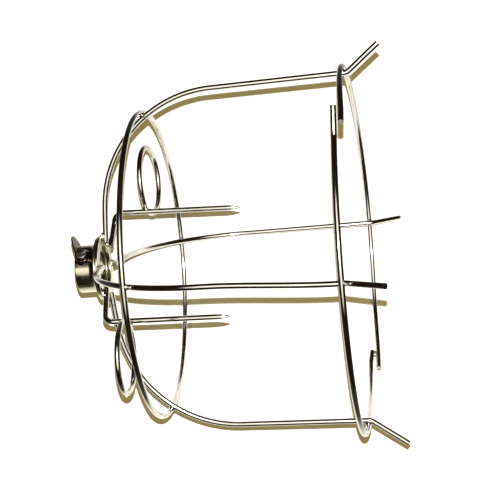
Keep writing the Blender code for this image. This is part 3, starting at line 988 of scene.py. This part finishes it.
def add_bead(solid, spot, width, number):
    """A flat lens of metal between two wires, a little lumpy."""
    turn = Matrix((spot.along, spot.across, spot.through)).transposed().to_4x4()
    width *= spot.size
    shape = Matrix.Diagonal((width * spot.length, width, BEAD_THICKNESS, 1.0))
    place = Matrix.Translation(spot.centre) @ turn
    verts = bmesh.ops.create_icosphere(solid, subdivisions=4, radius=1.0)["verts"]
    for vert in verts:
        x, y, z = vert.co
        lump = math.sin(5 * x + number) + math.sin(6 * y + 2.1 * number) + math.sin(7 * z + 4)
        vert.co *= 1.0 + BEAD_LUMPS * lump
    bmesh.ops.transform(solid, matrix=place @ shape, verts=verts)


class GUARD_OT_stage(bpy.types.Operator):
    """Set the pale floor, the lamp by the camera, the soft light from above and the camera"""
    bl_idname = "guard.stage"
    bl_label = "Set Stage"

    def execute(self, context):
        stage = context.scene.guard_stage
        solid = bmesh.new()
        bmesh.ops.create_circle(solid, cap_ends=True, segments=96, radius=FLOOR_RADIUS)
        mesh = bpy.data.meshes.new("floor")
        solid.to_mesh(mesh)
        solid.free()
        floor = bpy.data.objects.new("floor", mesh)
        context.collection.objects.link(floor)
        mesh.materials.append(floor_finish(stage.floor))

        right, up, spot = Vector(CAMERA_RIGHT), Vector(CAMERA_UP), Vector(CAMERA_SPOT)
        back = right.cross(up).normalized()
        camera = bpy.data.cameras.new("camera")
        camera.lens = stage.lens
        camera.sensor_width = 36.0
        camera.clip_start = 0.01
        viewer = bpy.data.objects.new("camera", camera)
        viewer.matrix_world = (Matrix.Translation(spot)
                               @ Matrix((right, up, back)).transposed().to_4x4())
        context.collection.objects.link(viewer)
        context.scene.camera = viewer

        light = bpy.data.lights.new("key", "AREA")
        light.shape = "DISK"
        light.size = stage.key_size
        light.energy = stage.key_power
        light.color = KEY_COLOUR
        key = bpy.data.objects.new("key", light)
        key_spot = spot + up * KEY_OFFSET
        aim = (-key_spot).to_track_quat("-Z", "Y")
        key.matrix_world = Matrix.Translation(key_spot) @ aim.to_matrix().to_4x4()
        context.collection.objects.link(key)
        make_room(context.scene, stage)
        context.scene.view_settings.view_transform = "Standard"
        return {"FINISHED"}


def floor_finish(tone):
    """Matt pale board with a faint tooth, which lights the guard only from close by."""
    made, tree, shader, place = new_finish("pale_floor", Roughness=0.9, Specular_IOR_Level=0.2)
    tooth = noise(tree, place, 260.0, detail=4.0)
    low = tuple(part * 0.985 for part in tone) + (1.0,)
    board = mixed(tree, tooth, low, (*tone, 1.0))
    middle = tree.nodes.new("ShaderNodeVectorMath")
    middle.operation = "LENGTH"
    tree.links.new(place, middle.inputs[0])
    edge = ranged(tree, middle.outputs["Value"], *FLOOR_LIT, 0.78, 0.02)
    seen = tree.nodes.new("ShaderNodeLightPath")
    share = math_node(tree, "MAXIMUM", edge, seen.outputs["Is Camera Ray"])
    tree.links.new(mixed(tree, share, (0.0, 0.0, 0.0, 1.0), board), shader.inputs["Base Color"])
    return made


def make_room(scene, stage):
    """Soft light from above, narrower in reflections, a dark room and a pale backdrop."""
    world = bpy.data.worlds.new("room")
    scene.world = world
    world.use_nodes = True
    tree = world.node_tree
    sky = tree.nodes["Background"]
    nearness = tree.nodes.new("ShaderNodeVectorMath")
    nearness.operation = "DOT_PRODUCT"
    nearness.inputs[1].default_value = SKY_DIRECTION
    tree.links.new(tree.nodes.new("ShaderNodeTexCoord").outputs["Generated"], nearness.inputs[0])
    wide = ranged(tree, nearness.outputs["Value"], *SKY_WIDE, 0.0, 1.0)
    tight = ranged(tree, nearness.outputs["Value"], *SKY_TIGHT, 0.0, 1.0)
    on_floor = mixed(tree, wide, ROOM_COLOUR, (*stage.fill, 1.0))
    in_plating = mixed(tree, tight, ROOM_COLOUR, (*stage.sky, 1.0))
    seen = tree.nodes.new("ShaderNodeLightPath")
    tree.links.new(mixed(tree, seen.outputs["Is Glossy Ray"], on_floor, in_plating),
                   sky.inputs["Color"])
    sky.inputs["Strength"].default_value = stage.fill_strength
    backdrop = tree.nodes.new("ShaderNodeBackground")
    backdrop.inputs["Color"].default_value = BACKDROP_COLOUR
    choose = tree.nodes.new("ShaderNodeMixShader")
    tree.links.new(seen.outputs["Is Camera Ray"], choose.inputs["Fac"])
    tree.links.new(sky.outputs[0], choose.inputs[1])
    tree.links.new(backdrop.outputs[0], choose.inputs[2])
    tree.links.new(choose.outputs[0], tree.nodes["World Output"].inputs["Surface"])


class GUARD_PT_panel(bpy.types.Panel):
    """Lists the steps that build the guard"""
    bl_idname = "GUARD_PT_panel"
    bl_label = "Lamp Guard"
    bl_space_type = "VIEW_3D"
    bl_region_type = "UI"
    bl_category = "Lamp Guard"

    def draw(self, context):
        for group in ("guard_sizes", "guard_finish", "guard_stage"):
            settings = getattr(context.scene, group)
            box = self.layout.box()
            for name in settings.__annotations__:
                box.prop(settings, name)
        for step in STEPS:
            self.layout.operator(step.bl_idname)


STEPS = (GUARD_OT_ribs, GUARD_OT_hoops, GUARD_OT_arms, GUARD_OT_collar, GUARD_OT_screw,
         GUARD_OT_welds, GUARD_OT_stage)
CLASSES = (GuardSizes, GuardFinish, GuardStage, *STEPS, GUARD_PT_panel)


def register():
    for item in CLASSES:
        bpy.utils.register_class(item)
    bpy.types.Scene.guard_sizes = PointerProperty(type=GuardSizes)
    bpy.types.Scene.guard_finish = PointerProperty(type=GuardFinish)
    bpy.types.Scene.guard_stage = PointerProperty(type=GuardStage)


def unregister():
    del bpy.types.Scene.guard_stage
    del bpy.types.Scene.guard_finish
    del bpy.types.Scene.guard_sizes
    for item in reversed(CLASSES):
        bpy.utils.unregister_class(item)


def main():
    register()
    bpy.ops.guard.ribs()
    bpy.ops.guard.hoops()
    bpy.ops.guard.arms()
    bpy.ops.guard.collar()
    bpy.ops.guard.screw()
    bpy.ops.guard.welds()
    bpy.ops.guard.stage()


if __name__ == "__main__":
    main()
